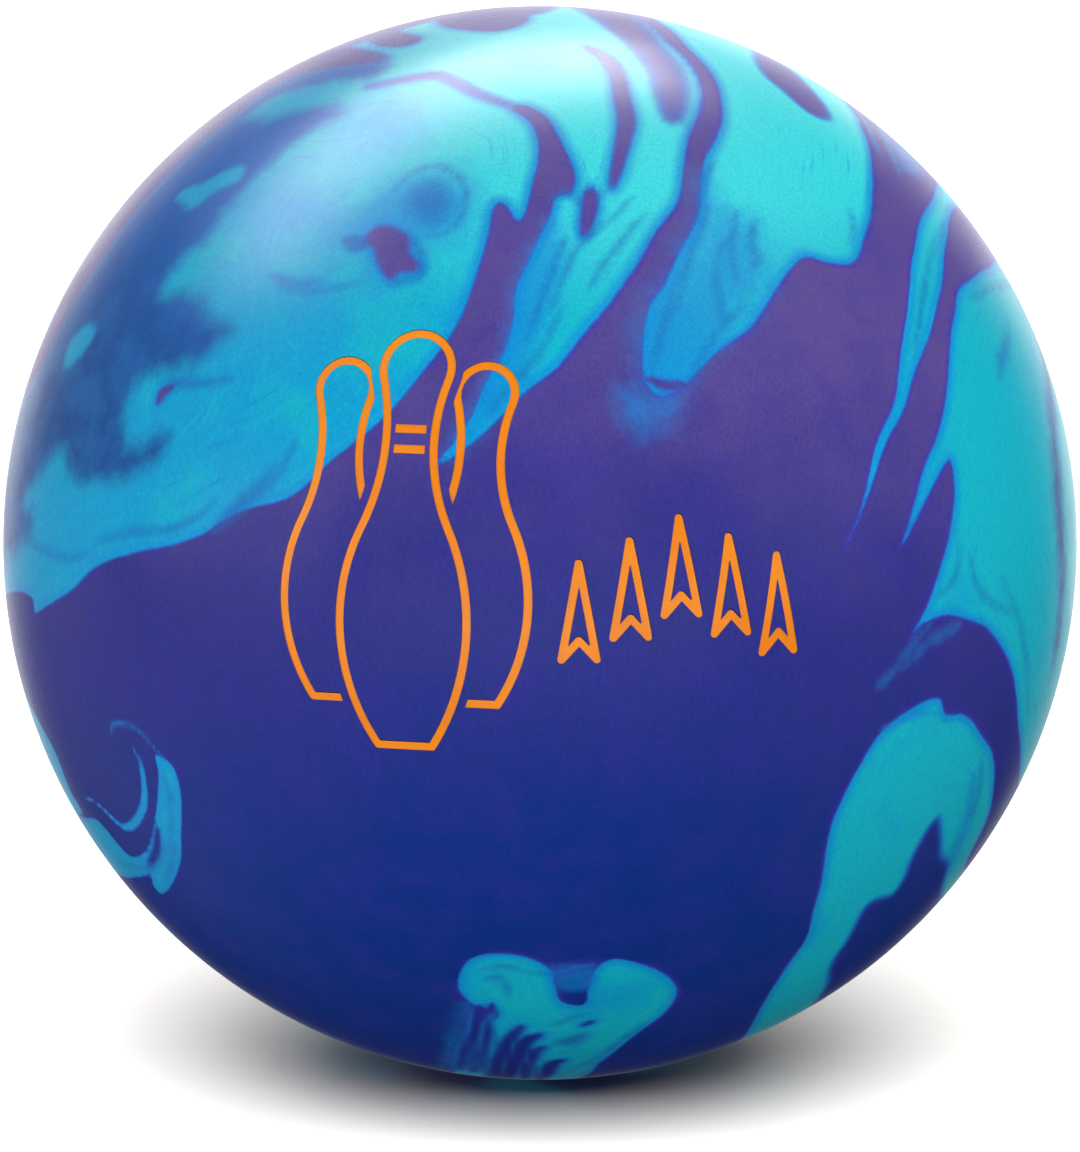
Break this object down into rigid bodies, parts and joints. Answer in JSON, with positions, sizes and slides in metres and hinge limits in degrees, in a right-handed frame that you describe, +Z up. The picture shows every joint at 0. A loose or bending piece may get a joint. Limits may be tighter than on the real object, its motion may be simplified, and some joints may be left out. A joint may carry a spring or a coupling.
{
  "type": "bowling ball",
  "caption": "Undrilled ten-pin bowling ball: swirled coverstock shell over filler, weight block and flip block, with locating pins and filled line engravings.",
  "frame": {"origin": "centre of the ball", "axes": "+Z up, -Y towards the engraved front of the ball, +X to the right as the engraving is read"},
  "size_m": [0.218, 0.218, 0.218],
  "materials": {
    "coverstock": "satin",
    "filler": "matte",
    "weight_block": "satin",
    "flip_block": "matte",
    "core_pin": "satin",
    "locator_pin": "satin",
    "engraving_fill": "satin"
  },
  "bodies": {
    "root": {"coverstock": "coverstock", "filler": "filler", "weight_block": "weight_block", "flip_block": "flip_block", "core_pin": "core_pin", "locator_pin": "locator_pin", "balance_mark": "engraving_fill", "emblem_tenpin_front": "engraving_fill", "emblem_tenpin_left": "engraving_fill", "emblem_tenpin_right": "engraving_fill", "emblem_stripe_lower": "engraving_fill", "emblem_stripe_upper": "engraving_fill", "emblem_arrow_1": "engraving_fill", "emblem_arrow_2": "engraving_fill", "emblem_arrow_3": "engraving_fill", "emblem_arrow_4": "engraving_fill", "emblem_arrow_5": "engraving_fill"}
  },
  "joints": []
}
